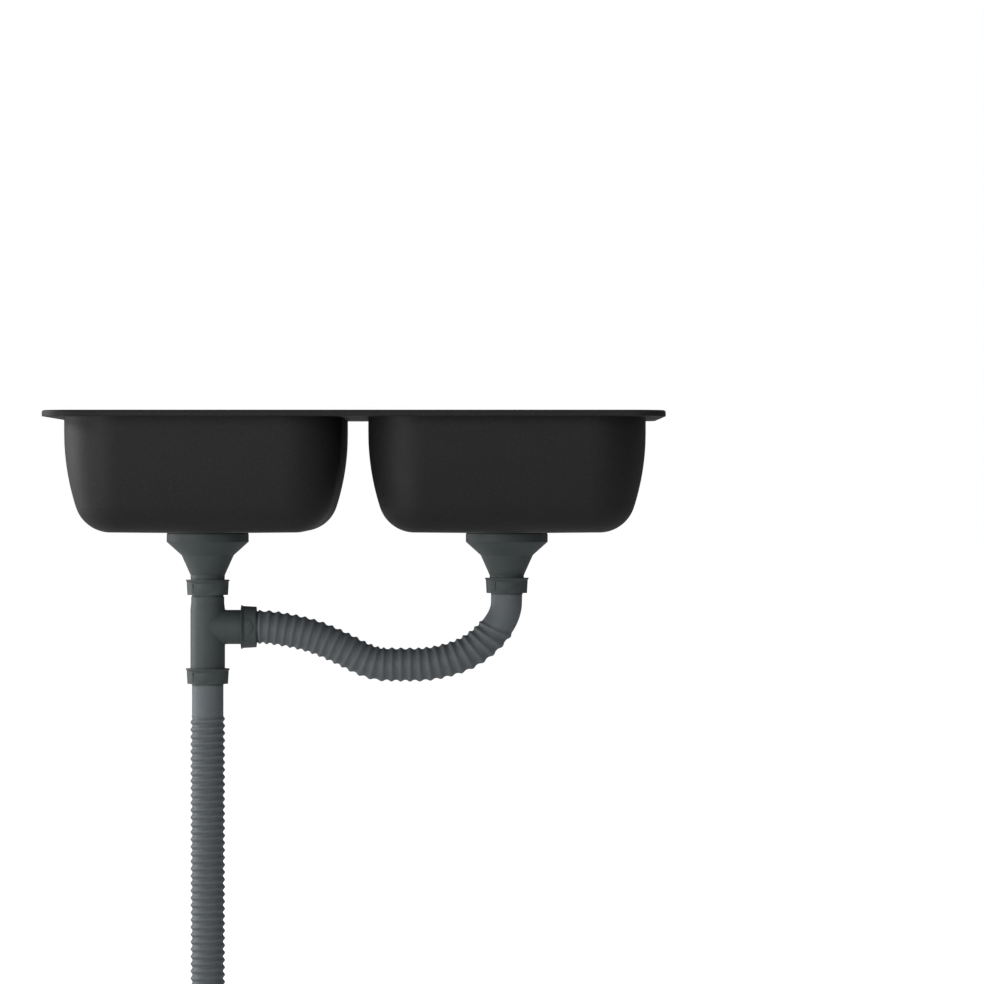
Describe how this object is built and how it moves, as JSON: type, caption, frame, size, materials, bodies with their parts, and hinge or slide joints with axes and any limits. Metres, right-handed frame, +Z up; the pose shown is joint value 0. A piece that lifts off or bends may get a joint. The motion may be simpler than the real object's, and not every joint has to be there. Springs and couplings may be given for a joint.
{
  "type": "double bowl kitchen sink",
  "caption": "Inset composite kitchen sink with two rounded bowls, lift-out strainer baskets, waste funnels, a tee and ribbed drain hoses.",
  "frame": {"origin": "on the plane that the rim rests on, halfway between the two bowls", "axes": "+X to the right seen from the front, -Y to the front, +Z up out of the bowls"},
  "size_m": [0.82, 0.5, 0.8616],
  "materials": {
    "composite": "satin",
    "stainless": "brushed",
    "black_rubber": "matte",
    "fitting_plastic": "satin",
    "hose_plastic": "satin"
  },
  "bodies": {
    "sink": {"sink_body": "composite", "left_strainer_flange": "stainless", "left_flange_gasket": "black_rubber", "left_bowl_gasket": "black_rubber", "left_clamp_screw": "stainless", "left_waste_funnel": "fitting_plastic", "left_coupling_nut": "fitting_plastic", "left_coupling_washer": "black_rubber", "right_strainer_flange": "stainless", "right_flange_gasket": "black_rubber", "right_bowl_gasket": "black_rubber", "right_clamp_screw": "stainless", "right_waste_funnel": "fitting_plastic", "right_coupling_nut": "fitting_plastic", "right_coupling_washer": "black_rubber", "waste_tee": "fitting_plastic", "lower_nut": "fitting_plastic", "lower_washer": "black_rubber", "side_nut": "fitting_plastic", "side_washer": "black_rubber", "branch_hose": "hose_plastic", "drop_hose": "hose_plastic", "outlet_spigot": "hose_plastic"},
    "left_basket_set": {"left_basket": "stainless", "left_basket_seal": "black_rubber", "left_basket_knob": "stainless"},
    "right_basket_set": {"right_basket": "stainless", "right_basket_seal": "black_rubber", "right_basket_knob": "stainless"}
  },
  "joints": [
    {"name": "left_basket_lift", "type": "slide", "parent": "sink", "child": "left_basket_set", "axis": [0, 0, 1], "range_m": [0, 0.2]},
    {"name": "right_basket_lift", "type": "slide", "parent": "sink", "child": "right_basket_set", "axis": [0, 0, 1], "range_m": [0, 0.2]}
  ]
}
